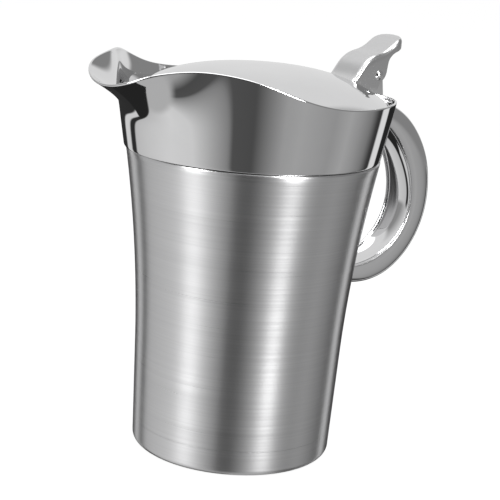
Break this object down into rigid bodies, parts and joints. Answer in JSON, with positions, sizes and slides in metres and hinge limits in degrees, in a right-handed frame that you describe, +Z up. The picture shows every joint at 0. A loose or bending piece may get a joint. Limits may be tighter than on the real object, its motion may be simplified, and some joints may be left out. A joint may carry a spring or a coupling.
{
  "type": "insulated gravy boat",
  "caption": "Insulated gravy boat: double-walled steel vessel with a spouted collar, hinged domed lid, thumb lever and strap handle.",
  "frame": {"origin": "centre of the flat foot, on the plane that the vessel stands on", "axes": "+Z up along the vessel's axis, -X towards the spout, +X towards the hinge and handle, Y across"},
  "size_m": [0.1643, 0.1046, 0.1606],
  "materials": {
    "brushed_steel": "satin, brushed round the body",
    "polished_steel": "mirror polished",
    "liner_steel": "satin"
  },
  "bodies": {
    "vessel": {"outer_shell": "brushed_steel", "base_cup": "brushed_steel", "spout_collar": "polished_steel", "inner_cup": "liner_steel", "inner_collar": "polished_steel", "hinge_bracket": "polished_steel", "handle_channel": "polished_steel", "handle_plate": "polished_steel"},
    "lid_body": {"lid": "polished_steel", "thumb_lever": "polished_steel", "hinge_pin": "polished_steel"}
  },
  "joints": [
    {"name": "lid_hinge", "type": "hinge", "parent": "vessel", "child": "lid_body", "pos_m": [0.0552, 0, 0.1453], "axis": [0, 1, 0], "range_deg": [0, 70]}
  ]
}
